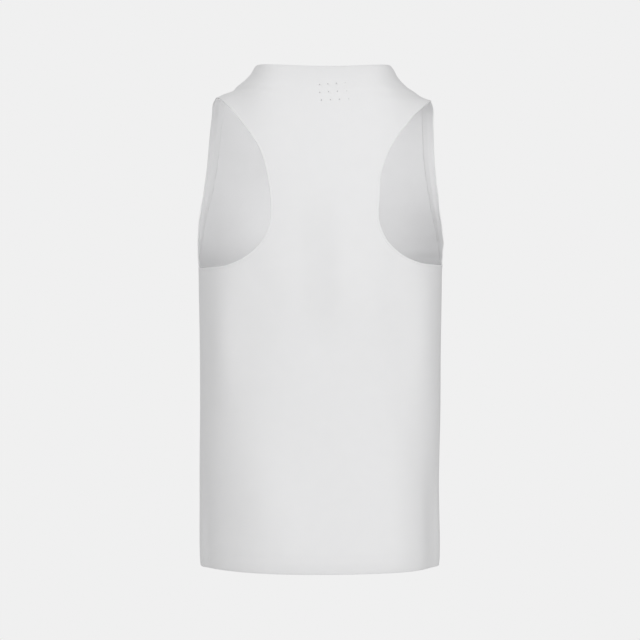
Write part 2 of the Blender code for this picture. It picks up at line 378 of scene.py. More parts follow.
FRONT_CREASES = (
    Crease(start=(0.010, -0.130), end=(-0.004, -0.330), depth=0.0022, width=0.024, bow=0.006, deepest=0.35),
    Crease(start=(0.140, -0.205), end=(0.070, -0.330), depth=0.0026, width=0.016, bow=0.008, deepest=0.35),
    Crease(start=(-0.143, -0.200), end=(-0.080, -0.300), depth=0.0022, width=0.014, bow=-0.006, deepest=0.4),
    Crease(start=(0.085, -0.350), end=(0.100, -0.690), depth=0.0032, width=0.022, bow=0.010, deepest=0.75),
    Crease(start=(-0.045, -0.400), end=(-0.070, -0.690), depth=0.0028, width=0.020, bow=-0.008, deepest=0.7),
    Crease(start=(-0.118, -0.330), end=(-0.130, -0.640), depth=0.0018, width=0.015, bow=0.005),
    Crease(start=(0.022, -0.480), end=(0.012, -0.700), depth=-0.0026, width=0.026, deepest=0.75),
    Crease(start=(0.122, 0.030), end=(0.120, -0.330), depth=-0.0034, width=0.030, deepest=0.62),
    Crease(start=(-0.124, 0.020), end=(-0.120, -0.330), depth=-0.0040, width=0.030, deepest=0.58),
    Crease(start=(0.112, -0.040), end=(0.085, -0.140), depth=0.0012, width=0.012, bow=-0.004),
    Crease(start=(-0.105, -0.045), end=(-0.100, -0.125), depth=0.0010, width=0.011, bow=0.003),
)
LOW_STANCE = (
    Stance(z=-0.657, aside=0.0012, outward=-0.0004),
    Stance(z=-0.545, aside=0.0019, outward=-0.0018),
    Stance(z=-0.433, aside=0.0005, outward=-0.0015),
    Stance(z=-0.310, aside=0.0005, outward=-0.0015),
    Stance(z=-0.262, aside=0.0005, outward=-0.0015, left_drop=0.0026, right_drop=-0.0018),
    Stance(z=-0.244, aside=0.0003, outward=-0.0011, left_drop=0.0026, right_drop=-0.0018),
)
TOP_STANCE = (
    Stance(z=-0.0135, aside=-0.0047, outward=0.0014, right_drop=0.0036),
    Stance(z=-0.0078, aside=-0.0020, outward=0.0010, right_drop=0.0030),
    Stance(z=-0.0022, aside=-0.0040, outward=-0.0034, right_drop=0.0008),
    Stance(z=0.0034, aside=-0.0015, outward=-0.0038),
    Stance(z=0.0146, aside=-0.0026, outward=-0.0060),
    Stance(z=0.0202, aside=-0.0034, outward=-0.0062),
    Stance(z=0.0258, aside=-0.0038, outward=-0.0035),
    Stance(z=0.0314, aside=-0.0036, outward=-0.0020),
)
BACK_STANCE = LOW_STANCE + (
    Stance(z=-0.209, aside=-0.0003, outward=-0.0008, left_drop=0.0012, right_drop=-0.0008),
    Stance(z=-0.187, aside=-0.0002, outward=-0.0028),
    Stance(z=-0.150, aside=-0.0006, outward=0.0000),
    Stance(z=-0.122, aside=0.0005, outward=-0.0018),
    Stance(z=-0.097, aside=-0.0006, outward=-0.0010),
    Stance(z=-0.070, aside=-0.0015, outward=-0.0016),
    Stance(z=-0.048, aside=-0.0024, outward=-0.0024),
) + TOP_STANCE
FRONT_STANCE = LOW_STANCE + (
    Stance(z=-0.232, aside=-0.0004, outward=-0.0001, left_drop=0.0022, right_drop=-0.0014),
    Stance(z=-0.209, aside=-0.0020, outward=0.0018),
    Stance(z=-0.187, aside=-0.0021, outward=0.0022),
    Stance(z=-0.165, aside=-0.0026, outward=0.0007),
    Stance(z=-0.142, aside=-0.0040, outward=0.0004),
    Stance(z=-0.097, aside=-0.0047, outward=0.0002),
    Stance(z=-0.050, aside=-0.0053, outward=0.0000),
    Stance(z=-0.028, aside=-0.0058, outward=0.0000),
) + TOP_STANCE


@dataclass(frozen=True)
class Drape:
    """How the cloth sits on one side of the worn form: its creases, its tucked hem and its uneven stance."""

    form: WornForm
    creases: tuple[Crease, ...]
    stances: tuple[Stance, ...]
    seam_fade: float = math.radians(13)
    tuck_depth: float = 0.0044
    tuck_height: float = 0.034
    tuck_at_side: float = 0.35
    hem_turn: float = 0.0150
    hem_step: float = 0.0002
    step_run: float = 0.003
    half_width: float = 0.170

    def relief(self, turn: np.ndarray, rise: np.ndarray, places: np.ndarray) -> np.ndarray:
        """Work out how deep the creases and the hem lie under the smooth form.

        Args:
            turn: Angles round the body.
            rise: Angles up the body.
            places: The places on the smooth form.

        Returns:
            Depths.
        """
        x, z = places[..., 0], places[..., 2]
        troughs = sum(crease.at(x, z) for crease in self.creases)
        from_seam = (self.form.seam_turn - np.abs(turn)) / self.seam_fade
        from_shoulder = (QUARTER - rise) / self.seam_fade
        above_hem = (rise - self.form.hem_rise(turn)) * self.form.rise_length
        tuck = self.tuck_depth * np.clip(1 - above_hem / self.tuck_height, 0.0, 1.0) ** 2
        tuck = tuck * (self.tuck_at_side + (1 - self.tuck_at_side) * np.cos(turn) ** 2)
        step = self.hem_step * smoothstep((self.hem_turn + self.step_run - above_hem) / self.step_run)
        return troughs * smoothstep(from_seam) * smoothstep(from_shoulder) + tuck - step

    def lay(self, cloth: np.ndarray) -> np.ndarray:
        """Lay flat cloth on the worn form.

        Args:
            cloth: Rows of turn, rise and depth.

        Returns:
            Rows of x, y and z.
        """
        turn, rise, depth = cloth[..., 0], cloth[..., 1], cloth[..., 2]
        places = self.form.place(turn, rise)
        wide, tall = self.form.axes(turn, rise)
        inward = np.cross(wide, tall) * self.form.side.value
        inward /= np.linalg.norm(inward, axis=-1, keepdims=True)
        places = places + inward * (depth + self.relief(turn, rise, places))[..., None]
        return places + self.stood_off(places)

    def stood_off(self, places: np.ndarray) -> np.ndarray:
        """Work out how far the cloth stands off its even form.

        Args:
            places: Rows of x, y and z on the even form.

        Returns:
            Movements, as rows of x, y and z.
        """
        levels, *columns = map(np.array, zip(*self.stances))
        aside, outward, left, right = (eased(levels, column, places[..., 2]) for column in columns)
        share = places[..., 0] / self.half_width
        drop = left * np.maximum(share, 0.0) + right * np.maximum(-share, 0.0)
        return np.stack((aside + outward * share, np.zeros_like(share), -drop), axis=-1)

    def moved_in(self, line: np.ndarray, distance: np.ndarray) -> np.ndarray:
        """Move a border line into the cloth, to the left of the way that it runs.

        Args:
            line: Rows of turn and rise.
            distance: How far to move it, in metres: one number, or one for each row.

        Returns:
            Rows of turn and rise.
        """
        wide, tall = self.form.axes(line[:, 0], line[:, 1])
        along = np.gradient(line, axis=0)
        tangent = wide * along[:, :1] + tall * along[:, 1:]
        step = np.cross(np.cross(wide, tall), tangent)
        step *= (distance / np.linalg.norm(step, axis=1))[:, None]
        square = np.array([[(a * b).sum(axis=1) for a in (wide, tall)] for b in (wide, tall)])
        reached = np.array([(a * step).sum(axis=1) for a in (wide, tall)])
        return line + np.linalg.solve(square.transpose(2, 0, 1), reached.T[..., None])[..., 0]

    def travelled(self, line: np.ndarray) -> np.ndarray:
        """Measure along a line on the cloth.

        Args:
            line: Rows of turn and rise.

        Returns:
            The distance from the first place to each place.
        """
        places = self.form.place(line[:, 0], line[:, 1])
        steps = np.linalg.norm(np.diff(places, axis=0), axis=1)
        return np.concatenate(([0.0], np.cumsum(steps)))

    def evenly(self, line: np.ndarray, parts: int) -> np.ndarray:
        """Lay a line out again, as places the same distance apart.

        Args:
            line: Rows of turn and rise.
            parts: How many stretches to divide it into.

        Returns:
            Rows of turn and rise, one more than there are parts.
        """
        gone = self.travelled(line)
        wanted = np.linspace(0.0, gone[-1], parts + 1)
        return np.column_stack([np.interp(wanted, gone, line[:, axis]) for axis in (0, 1)])


def smooth_line(points: Sequence[tuple[float, float]]) -> np.ndarray:
    """Draw a smooth curve through a few places; it starts level and ends upright.

    Args:
        points: Turns and rises.

    Returns:
        Rows of turn and rise.
    """
    spots = np.array(points, dtype=float)
    first = 2 * spots[0][0] - spots[1][0], spots[1][1]
    last = spots[-2][0], 2 * spots[-1][1] - spots[-2][1]
    padded = np.array([first, *spots, last])
    t = (np.arange(LINE_SAMPLES) / LINE_SAMPLES)[:, None]
    stretches = []
    for before, start, end, after in zip(padded, padded[1:], padded[2:], padded[3:]):
        stretches.append(curved(t, start, end, (end - before) / 2, (after - start) / 2))
    return np.vstack([*stretches, spots[-1:]])


def patch(left: np.ndarray, right: np.ndarray, bottom: np.ndarray, top: np.ndarray) -> np.ndarray:
    """Fill in a grid between its four edge lines.

    Args:
        left: The edge at the middle of the panel, from the bottom up.
        right: The opposite edge, from the bottom up.
        bottom: The lower edge, from the middle outwards.
        top: The upper edge, from the middle outwards.

    Returns:
        Rows of turns and rises.
    """
    v = np.linspace(0, 1, len(left))[:, None, None]
    u = np.linspace(0, 1, len(bottom))[None, :, None]
    sideways = (1 - u) * left[:, None] + u * right[:, None]
    bottom_bow = bottom - ((1 - u) * bottom[0] + u * bottom[-1])
    top_bow = top - ((1 - u) * top[0] + u * top[-1])
    return sideways + (1 - v) * bottom_bow + v * top_bow


def add_grid(bm: bmesh.types.BMesh, cloth: np.ndarray) -> None:
    """Add a grid of faces with its corners at the given rows of places.

    Args:
        bm: The mesh to add to.
        cloth: Rows and columns of three numbers.
    """
    rows, columns = cloth.shape[:2]
    grid = bmesh.ops.create_grid(bm, x_segments=columns - 1, y_segments=rows - 1, size=1)["verts"]
    for vert in grid:
        column = round((vert.co.x + 1) / 2 * (columns - 1))
        row = round((vert.co.y + 1) / 2 * (rows - 1))
        vert.co = cloth[row, column]


def coordinates(bm: bmesh.types.BMesh) -> np.ndarray:
    """Read the places of a mesh's corners, one row each."""
    return np.array([vert.co[:] for vert in bm.verts])


class NodeBuilder:
    """Short ways to add and link nodes in one node tree."""

    def __init__(self, tree: bpy.types.NodeTree) -> None:
        """Keep the tree and empty it."""
        self.tree = tree
        tree.nodes.clear()

    def add(self, kind: str, **settings: object) -> bpy.types.Node:
        """Add a node.

        Args:
            kind: The node's type, without the ShaderNode or NodeGroup in front.
            settings: Properties to set on it.

        Returns:
            The node.
        """
        prefix = "" if kind.startswith("NodeGroup") else "ShaderNode"
        node = self.tree.nodes.new(prefix + kind)
        for name, value in settings.items():
            setattr(node, name, value)
        return node

    def feed(self, node: bpy.types.Node, **inputs: object) -> bpy.types.Node:
        """Set or link a node's inputs by name, with _ for a space.

        Args:
            node: The node.
            inputs: Numbers, colours or output sockets.

        Returns:
            The node.
        """
        for name, value in inputs.items():
            self.put(node.inputs[name.replace("_", " ")], value)
        return node

    def put(self, socket: bpy.types.NodeSocket, value: object) -> None:
        """Link an output socket to an input, or set the input's value.

        Args:
            socket: The input.
            value: A number, a colour or an output socket.
        """
        if isinstance(value, bpy.types.NodeSocket):
            self.tree.links.new(value, socket)
        else:
            socket.default_value = value

    def math(self, operation: str, *values: object) -> bpy.types.NodeSocket:
        """Add a Math node.

        Args:
            operation: What it does.
            values: Numbers or output sockets.

        Returns:
            Its result.
        """
        node = self.add("Math", operation=operation)
        for socket, value in zip(node.inputs, values):
            self.put(socket, value)
        return node.outputs[0]

    def tint(self, share: bpy.types.NodeSocket, low: Triple, high: Triple,
             ramp: tuple[float, float] = (0.0, 1.0)) -> bpy.types.NodeSocket:
        """Blend from one colour to another.

        Args:
            share: How far to go from one to the other.
            low: The colour at the start of the ramp.
            high: The colour at its end.
            ramp: The shares where it starts and ends.

        Returns:
            The blended colour.
        """
        node = self.add("ValToRGB")
        for stop, colour, position in zip(node.color_ramp.elements, (low, high), ramp):
            stop.color = (*colour, 1.0)
            stop.position = position
        self.put(node.inputs["Fac"], share)
        return node.outputs["Color"]

    def surface(self, **inputs: object) -> None:
        """Finish a material with a Principled shader.

        Args:
            inputs: What the shader's inputs are fed with.
        """
        shader = self.feed(self.add("BsdfPrincipled"), **inputs)
        self.feed(self.add("OutputMaterial"), Surface=shader.outputs["BSDF"])


def new_material(name: str) -> tuple[bpy.types.Material, NodeBuilder]:
    """Start a material.

    Args:
        name: Its name.

    Returns:
        The material, and the builder of its nodes.
    """
    material = bpy.data.materials.new(name)
    material.use_nodes = True
    return material, NodeBuilder(material.node_tree)


@dataclass(frozen=True)
class KnitPattern:
    """The shader node group that every knit cloth shares: rows of small V-shaped stitches."""

    name: str = "knit_stitches"
    lean: float = 0.5
    leg_height: float = 0.55
    mottling_detail: float = 3.0

    def group(self) -> bpy.types.NodeTree:
        """Build the group once, and give the same one again later.

        Returns:
            The group, with the height of the stitches and a soft mottling as its outputs.
        """
        if self.name in bpy.data.node_groups:
            return bpy.data.node_groups[self.name]
        tree = bpy.data.node_groups.new(self.name, "ShaderNodeTree")
        interface = tree.interface
        interface.new_socket("Place", in_out="INPUT", socket_type="NodeSocketVector")
        for name in ("Wales per metre", "Courses per metre", "Mottling size"):
            interface.new_socket(name, in_out="INPUT", socket_type="NodeSocketFloat")
        for name in ("Height", "Mottling"):
            interface.new_socket(name, in_out="OUTPUT", socket_type="NodeSocketFloat")
        nodes = NodeBuilder(tree)
        given = nodes.add("NodeGroupInput").outputs
        apart = nodes.feed(nodes.add("SeparateXYZ"), Vector=given["Place"]).outputs
        wales = nodes.math("MULTIPLY", apart["X"], given["Wales per metre"])
        courses = nodes.math("MULTIPLY", apart["Y"], given["Courses per metre"])
        in_wale = nodes.math("SUBTRACT", nodes.math("FRACT", wales), 0.5)
        from_middle = nodes.math("ABSOLUTE", in_wale)
        slanted = nodes.math("ADD", courses, nodes.math("MULTIPLY", from_middle, 2 * self.lean))
        loops = nodes.math("SINE", nodes.math("MULTIPLY", slanted, 2 * math.pi))
        column = nodes.math("SINE", nodes.math("MULTIPLY", from_middle, 2 * math.pi))
        legs = nodes.math("MULTIPLY_ADD", loops, self.leg_height / 2, 1 - self.leg_height / 2)
        height = nodes.math("MULTIPLY", column, legs)
        noise = nodes.feed(nodes.add("TexNoise"), Vector=given["Place"], Scale=given["Mottling size"],
                           Detail=self.mottling_detail)
        nodes.feed(nodes.add("NodeGroupOutput"), Height=height, Mottling=noise.outputs["Fac"])
        return tree


@dataclass(frozen=True)
class KnitFinish:
    """A white knit cloth."""

    name: str
    wales_per_metre: float
    courses_per_metre: float
    colour: Triple = (0.872, 0.872, 0.877)
    shade: Triple = (0.862, 0.862, 0.867)
    mottling_ramp: tuple[float, float] = (0.25, 0.75)
    roughness_low: float = 0.72
    roughness_high: float = 0.86
    sheen: float = 0.05
    sheen_roughness: float = 0.45
    specular: float = 0.22
    mottling_per_metre: float = 45.0
    stitch_height: float = 0.00012
    bump_strength: float = 0.30
    # how far the painted shade layer darkens the colour
    painted_shade_strength: float = 0.8

    def material(self) -> bpy.types.Material:
        """Make the cloth's material.

        Returns:
            The material.
        """
        made, nodes = new_material(self.name)
        place = nodes.add("Attribute", attribute_name=PLACE_LAYER).outputs["Vector"]
        knit = nodes.feed(nodes.add("Group", node_tree=KnitPattern().group()), Place=place,
                          Wales_per_metre=self.wales_per_metre, Courses_per_metre=self.courses_per_metre,
                          Mottling_size=self.mottling_per_metre).outputs
        tint = nodes.tint(knit["Mottling"], self.shade, self.colour, self.mottling_ramp)
        dull = nodes.feed(nodes.add("MapRange"), Value=knit["Height"],
                          To_Min=self.roughness_high, To_Max=self.roughness_low)
        bump = nodes.feed(nodes.add("Bump"), Height=knit["Height"],
                          Strength=self.bump_strength, Distance=self.stitch_height)
        # painted shade: the colour is darkened round the vents' rims and down the spine stripe
        painted_shade = nodes.add("Attribute", attribute_name=PAINTED_SHADE_LAYER).outputs["Fac"]
        kept = nodes.math("MULTIPLY_ADD", painted_shade, -self.painted_shade_strength, 1.0)
        colour = nodes.feed(nodes.add("VectorMath", operation="SCALE"), Vector=tint, Scale=kept)
        nodes.surface(Base_Color=colour.outputs["Vector"], Roughness=dull.outputs["Result"],
                      Normal=bump.outputs["Normal"], Sheen_Weight=self.sheen,
                      Sheen_Roughness=self.sheen_roughness, Specular_IOR_Level=self.specular)
        return made


@dataclass(frozen=True)
class ThreadFinish:
    """White sewing thread, twisted from two plies; whiter than the knit, partly as painted highlight, with
    painted shade in the grooves of its twist.
    """

    name: str = "white_thread"
    # partly painted highlight: whiter than the knit, so that the ridge along the binding reads light
    colour: Triple = (0.93, 0.93, 0.935)
    shade: float = 0.94
    roughness: float = 0.55
    twist_per_metre: float = 2500.0
    twist_height: float = 0.00004

    def material(self) -> bpy.types.Material:
        """Make the thread's material.

        Returns:
            The material.
        """
        made, nodes = new_material(self.name)
        place = nodes.add("TexCoord").outputs["Object"]
        twist = nodes.feed(nodes.add("TexWave", bands_direction="DIAGONAL"), Vector=place,
                           Scale=self.twist_per_metre).outputs["Fac"]
        bump = nodes.feed(nodes.add("Bump"), Height=twist, Distance=self.twist_height)
        # painted shade: the grooves of the twist are tinted darker
        tint = nodes.tint(twist, tuple(self.shade * part for part in self.colour), self.colour)
        nodes.surface(Base_Color=tint, Roughness=self.roughness, Normal=bump.outputs["Normal"])
        return made


def make_piece(name: str, bm: bmesh.types.BMesh, material: bpy.types.Material) -> bpy.types.Object:
    """Turn a finished bmesh into a smooth-shaded piece.

    Args:
        name: The piece's name.
        bm: Its mesh, which is freed.
        material: Its finish.

    Returns:
        The object.
    """
    mesh = bpy.data.meshes.new(name)
    bm.to_mesh(mesh)
    bm.free()
    mesh.materials.append(material)
    mesh.shade_smooth()
    piece = bpy.data.objects.new(name, mesh)
    bpy.context.scene.collection.objects.link(piece)
    return piece


def thicken(piece: bpy.types.Object, thickness: float) -> None:
    """Give a sheet its thickness, half to each side.

    Args:
        piece: The sheet.
        thickness: How thick it is.
    """
    solid = piece.modifiers.new("thickness", "SOLIDIFY")
    solid.thickness = thickness
    solid.offset = 0.0


class Border(Enum):
    """The borders of a panel, each walked with the cloth on the left."""

    HEM = "hem"
    NECK = "neck"
    LEFT_SEAM = "left side seam"
    RIGHT_SEAM = "right side seam"
    LEFT_SHOULDER = "left shoulder seam"
    RIGHT_SHOULDER = "right shoulder seam"


@dataclass(frozen=True)
class Vent:
    """A small round hole cut through the cloth, at an (x, z) place."""

    x: float
    z: float
    radius: float


@dataclass(frozen=True)
class PaintedShadeStripe:
    """A stripe of painted shade, which darkens the knit's colour."""

    middle: float
    half_width: float
    top: float
    bottom: float
    fade: float
    shade: float
    edge_power: int = 4

    def at(self, x: np.ndarray, z: np.ndarray) -> np.ndarray:
        """Work out how much painted shade the stripe lays on.

        Args:
            x: Places across.
            z: Heights.

        Returns:
            Painted shade, 0 outside the stripe.
        """
        across = np.exp(-((x - self.middle) / self.half_width) ** self.edge_power)
        under_top = smoothstep((self.top - z) / self.fade)
        over_bottom = smoothstep((z - self.bottom) / self.fade)
        return self.shade * across * under_top * over_bottom


@dataclass
class ClothPanel:
    """The back or the front: one layer of knit, with its hem, neck and seam edges turned in."""

    name: str
    drape: Drape
    armhole_points: tuple[EdgePoint, ...]
    bend: int          # the armhole point where the edge bends upwards
    vents: tuple[Vent, ...] = ()
    # stripes of painted shade, darkening the knit's colour
    stripes: tuple[PaintedShadeStripe, ...] = ()
    cell: float = 0.0035
    thickness: float = 0.0005
    middle_depth: float = 0.00025
    inner_depth: float = 0.00095
    binding_reach: float = 0.011
    strip_rows: int = 6
    seam_clearance: float = 0.00005
    neck_turn: float = 0.012
    allowance: float = 0.007
    groove_depth: float = 0.00035
    groove_width: float = 0.0011
    groove_cuts: tuple[float, ...] = (0.0007, 0.0014, 0.0024)
    fold_parts: int = 4
    turned_rows: int = 4
    allowance_rows: int = 3
    tucked_corner: FoldStep = FoldStep(inward=0.8, depth=0.7)          # in thicknesses of the cloth
    vent_rim: float = 0.5
    vent_sink: float = 0.5

    @property
    def form(self) -> WornForm:
        """The figure that the panel lies on."""
        return self.drape.form

    @property
    def seam_turn(self) -> float:
        """Turn of the panel's side edge, just short of the seam line."""
        per_turn = self.form.axes(np.array(self.form.seam_turn), np.array(0.0))[0]
        return self.form.seam_turn - self.seam_clearance / float(np.linalg.norm(per_turn))

    @property
    def top_rise(self) -> float:
        """Rise of the panel's top edge, just short of the shoulder seam line."""
        return QUARTER - self.seam_clearance / self.form.rise_length * 2

    def parts(self, length: float) -> int:
        """Into how many cells a length divides."""
        return max(1, round(length / self.cell))

    def armhole_edge(self) -> tuple[np.ndarray, int]:
        """Lay out the cut edge of the left armhole, from the underarm to the shoulder tip.

        Returns:
            Rows of turn and rise, and the number of the row where the edge bends upwards.
        """
        form = self.form
        tip = form.angles_of(form.shoulder_tip_out, form.shoulder_height(form.shoulder_tip_out))[0]
        points = [form.angles_of(*point) for point in self.armhole_points]
        line = smooth_line([(self.seam_turn, 0.0), *points, (tip, self.top_rise)])
        split = (self.bend + 1) * LINE_SAMPLES
        lower, upper = line[:split + 1], line[split:]
        lengths = [self.drape.travelled(part)[-1] for part in (lower, upper)]
        lower_parts, upper_parts = map(self.parts, lengths)
        lower = self.drape.evenly(lower, lower_parts)
        upper = self.drape.evenly(upper, upper_parts)
        return np.vstack((lower, upper[1:])), lower_parts

    def armhole_inside(self, edge: np.ndarray, distance: np.ndarray) -> np.ndarray:
        """Move the armhole's cut edge into the panel, its ends staying on the seams.

        Args:
            edge: Rows of turn and rise.
            distance: How far to move it, in metres: one number, or one for each row.

        Returns:
            Rows of turn and rise.
        """
        distance = np.broadcast_to(distance, len(edge))
        inner = self.drape.moved_in(edge, distance)
        inner[0] = edge[0][0], -distance[0] / self.form.rise_length
        per_turn = self.form.axes(edge[-1:, 0], edge[-1:, 1])[0]
        inner[-1] = edge[-1][0] - distance[-1] / np.linalg.norm(per_turn), edge[-1][1]
        return inner

    def neck_line(self) -> np.ndarray:
        """Lay out the left half of the neck edge, from the middle to its corner.

        Returns:
            Rows of turn and rise.
        """
        form = self.form
        outs = form.neck_corner_out * np.sin(np.linspace(0, QUARTER, LONG_LINE_SAMPLES + 1)[:-1])
        line = [form.angles_of(out, form.neck_height(out)) for out in outs]
        corner = form.angles_of(form.neck_corner_out, form.shoulder_height(form.neck_corner_out))[0]
        line.append((corner, self.top_rise))
        return np.minimum(np.array(line, dtype=float), (QUARTER, self.top_rise))

    def split_neck(self) -> tuple[np.ndarray, np.ndarray]:
        """Split the left half of the neck edge where it turns from running sideways to running upwards.

        Returns:
            Rows of turn and rise from the middle to the split, and from the split to the corner.
        """
        line = self.neck_line()
        wide, tall = self.form.axes(line[:, 0], line[:, 1])
        sideways, upwards = (np.abs(np.gradient(line[:, axis])) * np.linalg.norm(way, axis=1)
                             for axis, way in enumerate((wide, tall)))
        split = int(np.argmax(upwards > sideways))
        return line[:split + 1], line[split:]

    def yoke_grids(self, armhole: np.ndarray) -> tuple[np.ndarray, np.ndarray, np.ndarray]:
        """Lay out the left half above the underarm: one grid under the neck and one up the strap.

        Args:
            armhole: The line where the armhole's strip ends, from its bend up to the shoulder.

        Returns:
            Both grids, and the level line along their bottom.
        """
        drape = self.drape
        under, beside = self.split_neck()
        seam = np.array([beside[-1], armhole[-1]])
        columns, strap_columns = (self.parts(drape.travelled(line)[-1]) for line in (under, seam))
        level = np.linspace((0.0, armhole[0][1]), armhole[0], columns + strap_columns + 1)
        divide = np.array([level[columns], under[-1]])
        lengths = [drape.travelled(line)[-1] for line in (divide, beside)]
        rows = len(armhole) - 1
        low_rows = round(rows * lengths[0] / sum(lengths))
        divide = np.linspace(*divide, low_rows + 1)
        beside = drape.evenly(beside, rows - low_rows)
        neck_grid = patch(np.linspace(level[0], under[0], low_rows + 1), divide,
                          level[:columns + 1], drape.evenly(under, columns))
        strap_grid = patch(np.vstack((divide, beside[1:])), armhole,
                           level[columns:], np.linspace(*seam, strap_columns + 1))
        return neck_grid, strap_grid, level

    def cut_out(self) -> bmesh.types.BMesh:
        """Cut the panel flat: a few grids for its left half, then the mirrored half.

        Returns:
            The flat panel.
        """
        form, drape = self.form, self.drape
        edge, bend = self.armhole_edge()
        distances = np.linspace(0, self.binding_reach, self.strip_rows + 1)
        strip = np.stack([self.armhole_inside(edge, distance) for distance in distances], axis=1)
        lower, upper = np.split(strip[:, -1], (bend,))
        neck_grid, strap_grid, level = self.yoke_grids(upper)
        across = np.vstack((level, lower[::-1]))
        turns = np.linspace(0, self.seam_turn, HEM_SAMPLES)
        hem = drape.evenly(np.column_stack((turns, form.hem_rise(turns))), len(across) - 1)
        body_parts = self.parts(drape.travelled(np.array([hem[-1], lower[0]]))[-1])
        centre = np.linspace(hem[0], level[0], body_parts + 1)
        seam = np.linspace(hem[-1], lower[0], body_parts + 1)
        bm = bmesh.new()
        bm.verts.layers.float_vector.new(PLACE_LAYER)
        bm.verts.layers.float.new(PAINTED_SHADE_LAYER)
        for grid in (patch(centre, seam, hem, across), neck_grid, strap_grid, strip):
            add_grid(bm, np.dstack((grid, np.full(grid.shape[:2], self.middle_depth))))
        bmesh.ops.remove_doubles(bm, verts=bm.verts, dist=WELD)
        bmesh.ops.mirror(bm, geom=[*bm.verts, *bm.edges, *bm.faces], axis="X", merge_dist=WELD)
        bmesh.ops.remove_doubles(bm, verts=bm.verts, dist=WELD)
        bmesh.ops.recalc_face_normals(bm, faces=bm.faces)
        if sum(face.normal.z for face in bm.faces) < 0:
            bmesh.ops.reverse_faces(bm, faces=bm.faces)
        return bm

    def cut_groove_lines(self, bm: bmesh.types.BMesh) -> None:
        """Add rows of points close to the seams, so that the cloth can dip into them.

        Args:
            bm: The flat panel.
        """
        per_turn = self.form.axes(np.array(self.seam_turn), np.array(0.0))[0]
        seam_scale = float(np.linalg.norm(per_turn))
        for distance in self.groove_cuts:
            for sign in (1, -1):
                place = Vector((sign * (self.seam_turn - distance / seam_scale), 0, 0))
                geometry = [*bm.verts, *bm.edges, *bm.faces]
                bmesh.ops.bisect_plane(bm, geom=geometry, dist=WELD, plane_co=place, plane_no=(1, 0, 0))

    def borders(self, bm: bmesh.types.BMesh) -> dict[Border, list[bmesh.types.BMVert]]:
        """Walk round the flat panel's rim, with the cloth on the left, and split it at its corners.

        Args:
            bm: The flat panel.

        Returns:
            The points of each border, in walking order.
        """
        following = {loop.vert: loop.link_loop_next.vert
                     for edge in bm.edges if edge.is_boundary for loop in edge.link_loops}
        edge = self.armhole_edge()[0]
        underarm, shoulder_tip, neck_corner = edge[0], edge[-1], self.neck_line()[-1]
        hem_corner = np.array((self.seam_turn, self.form.hem_rise(self.seam_turn)))
        mirrored = np.array((-1, 1))

        def walk(start: np.ndarray, end: np.ndarray) -> list[bmesh.types.BMVert]:
            """Walk the rim from one corner to another.

            Args:
                start: Turn and rise of the first corner.
                end: Turn and rise of the last corner.

            Returns:
                The points passed, with both corners.
            """
            first, last = (min(following, key=lambda vert: math.dist(vert.co[:2], place))
                           for place in (start, end))
            found = [first]
            while found[-1] is not last:
                found.append(following[found[-1]])
            return found

        return {
            Border.HEM: walk(hem_corner * mirrored, hem_corner),
            Border.LEFT_SEAM: walk(hem_corner, underarm),
            Border.LEFT_SHOULDER: walk(shoulder_tip, neck_corner),
            Border.NECK: walk(neck_corner, neck_corner * mirrored),
            Border.RIGHT_SHOULDER: walk(neck_corner * mirrored, shoulder_tip * mirrored),
            Border.RIGHT_SEAM: walk(underarm * mirrored, hem_corner * mirrored),
        }

    def fold_in(self, bm: bmesh.types.BMesh, border: list[bmesh.types.BMVert],
                steps: Iterable[FoldStep]) -> None:
        """Turn a border of the flat panel to the inside, by an extrusion for each step of the fold.

        Args:
            bm: The flat panel.
            border: Its points in walking order, with the cloth on the left.
            steps: The fold's profile.
        """
        line = np.array([vert.co[:2] for vert in border])
        for step in steps:
            edges = [bm.edges.get(pair) for pair in zip(border, border[1:])]
            made = bmesh.ops.extrude_edge_only(bm, edges=edges)["geom"]
            fresh = {tuple(vert.co): vert for vert in made if isinstance(vert, bmesh.types.BMVert)}
            border = [fresh[tuple(vert.co)] for vert in border]
            for vert, place in zip(border, self.drape.moved_in(line, step.inward)):
                vert.co = (*place, step.depth)

    def round_fold(self, reach: float) -> list[FoldStep]:
        """Describe a folded edge: round the fold, then flat against the inside.

        Args:
            reach: How far the turned part reaches.

        Returns:
            The fold's steps.
        """
        middle, inner = self.middle_depth, self.inner_depth
        radius = (inner - middle) / 2
        around = [FoldStep(-radius * math.sin(angle), middle + radius * (1 - math.cos(angle)))
                  for angle in np.linspace(0, math.pi, self.fold_parts + 1)[1:]]
        rows = self.turned_rows
        return around + [FoldStep(reach * row / rows, inner) for row in range(1, rows + 1)]

    def tucked_fold(self) -> list[FoldStep]:
        """Describe a seam allowance: the cloth turns straight down at the seam, then lies back flat.

        Returns:
            The fold's steps.
        """
        start, rows, corner = self.thickness, self.allowance_rows, self.tucked_corner
        turned = [FoldStep(start * corner.inward, self.middle_depth + start * corner.depth),
                  FoldStep(start, self.inner_depth)]
        return turned + [FoldStep(start + (self.allowance - start) * row / rows, self.inner_depth)
                         for row in range(1, rows + 1)]

    def fold_edges(self, bm: bmesh.types.BMesh) -> None:
        """Turn in the hem, the neck edge and the seam allowances.

        Args:
            bm: The flat panel.
        """
        borders = self.borders(bm)
        hem_clear = (self.drape.hem_turn + 2 * self.cell) / self.form.rise_length
        strip_clear = (self.binding_reach + self.cell / 2) / self.form.rise_length
        lowest = self.form.hem_rise(self.seam_turn) + hem_clear
        for which in (Border.LEFT_SEAM, Border.RIGHT_SEAM):
            part = [vert for vert in borders[which] if lowest < vert.co.y < -strip_clear]
            self.fold_in(bm, part, self.tucked_fold())
        at_neck = math.ceil((self.neck_turn + self.cell / 2) / self.cell)
        at_strip = self.strip_rows + 1
        self.fold_in(bm, borders[Border.LEFT_SHOULDER][at_strip:-at_neck], self.tucked_fold())
        self.fold_in(bm, borders[Border.RIGHT_SHOULDER][at_neck:-at_strip], self.tucked_fold())
        for which, reach in ((Border.HEM, self.drape.hem_turn), (Border.NECK, self.neck_turn)):
            self.fold_in(bm, borders[which], self.round_fold(reach))

